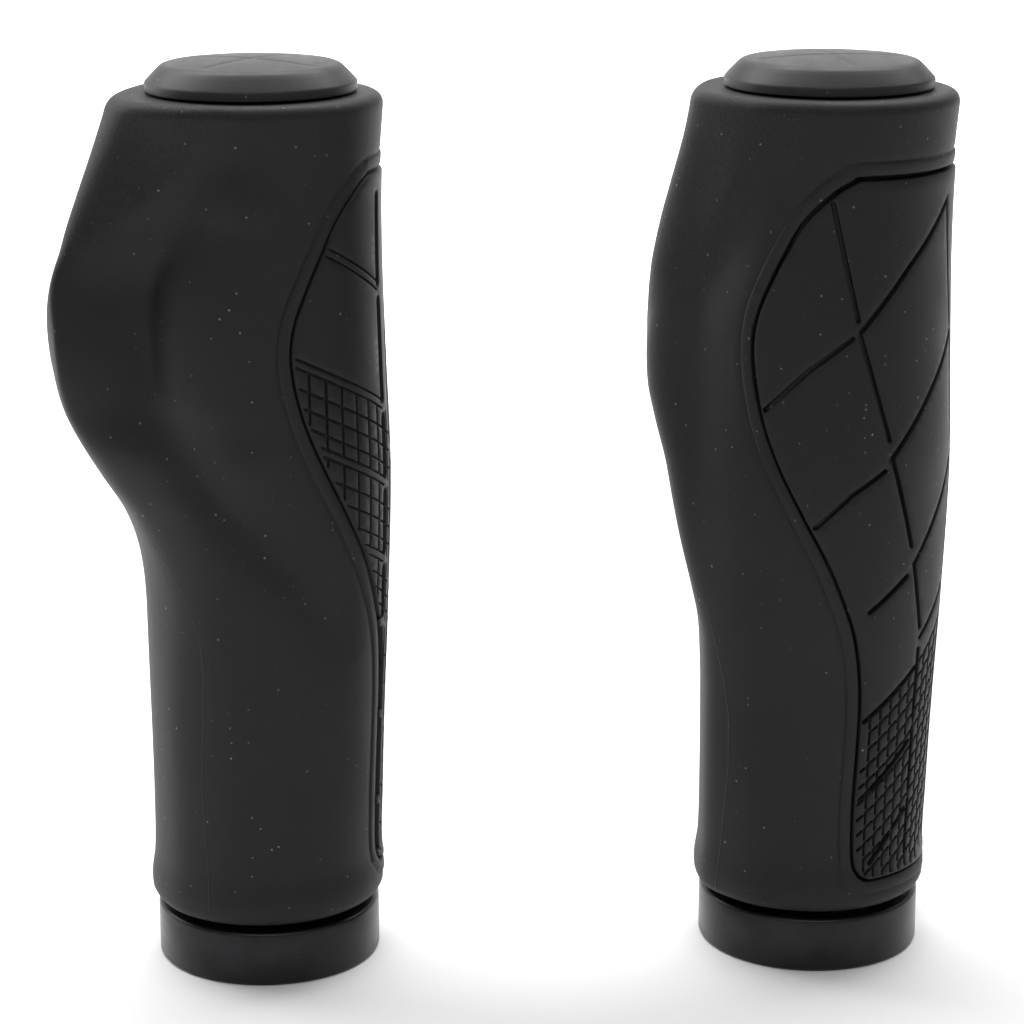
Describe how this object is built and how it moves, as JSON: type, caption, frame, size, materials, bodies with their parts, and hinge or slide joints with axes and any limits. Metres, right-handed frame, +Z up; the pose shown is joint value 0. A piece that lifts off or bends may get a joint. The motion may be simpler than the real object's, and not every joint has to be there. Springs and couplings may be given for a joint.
{
  "type": "handlebar grip pair",
  "caption": "Pair of ergonomic lock-on bicycle handlebar grips in black rubber, with palm wings, grooved tread pads, clamp rings and end caps.",
  "frame": {"origin": "centre of the pair's footprint, on the surface that both clamp rings stand on", "axes": "+Z up along both bores, from the inner ends to the end caps; +X from the left grip to the right grip; -Y towards the side that is seen from the front"},
  "size_m": [0.1248, 0.0452, 0.1297],
  "materials": {
    "grip_rubber": "matte black moulded rubber with a fine grain",
    "tread_rubber": "satin black rubber with grooved tread",
    "sleeve_nylon": "black moulded nylon",
    "black_aluminium": "black anodised",
    "bolt_steel": "bright stainless steel",
    "cap_plastic": "matte black moulded plastic"
  },
  "bodies": {
    "left_grip": {"left_grip_body": "grip_rubber", "left_tread_pad": "tread_rubber", "left_inner_sleeve": "sleeve_nylon"},
    "left_ring": {"left_clamp_ring": "black_aluminium"},
    "left_bolt": {"left_clamp_bolt": "bolt_steel"},
    "left_cap": {"left_end_cap": "cap_plastic"},
    "right_grip": {"right_grip_body": "grip_rubber", "right_tread_pad": "tread_rubber", "right_inner_sleeve": "sleeve_nylon"},
    "right_ring": {"right_clamp_ring": "black_aluminium"},
    "right_bolt": {"right_clamp_bolt": "bolt_steel"},
    "right_cap": {"right_end_cap": "cap_plastic"}
  },
  "joints": [
    {"name": "left_ring_slide", "type": "slide", "parent": "left_grip", "child": "left_ring", "axis": [0, 0, -1], "range_m": [0, 0.012]},
    {"name": "left_bolt_turn", "type": "hinge", "parent": "left_ring", "child": "left_bolt", "pos_m": [-0.03588, 0.01007, 0.0036], "axis": [-0.9976, -0.0698, 0], "range_deg": [0, 1080]},
    {"name": "left_cap_slide", "type": "slide", "parent": "left_grip", "child": "left_cap", "axis": [0, 0, 1], "range_m": [0, 0.03]},
    {"name": "right_ring_slide", "type": "slide", "parent": "right_grip", "child": "right_ring", "axis": [0, 0, -1], "range_m": [0, 0.012]},
    {"name": "right_bolt_turn", "type": "hinge", "parent": "right_ring", "child": "right_bolt", "pos_m": [0.05022, 0.01379, 0.0036], "axis": [0.9063, -0.4226, 0], "range_deg": [0, 1080]},
    {"name": "right_cap_slide", "type": "slide", "parent": "right_grip", "child": "right_cap", "axis": [0, 0, 1], "range_m": [0, 0.03]},
    {"name": "right_grip_slide", "type": "slide", "parent": "left_grip", "child": "right_grip", "axis": [1, 0, 0], "range_m": [0, 0.12]}
  ]
}
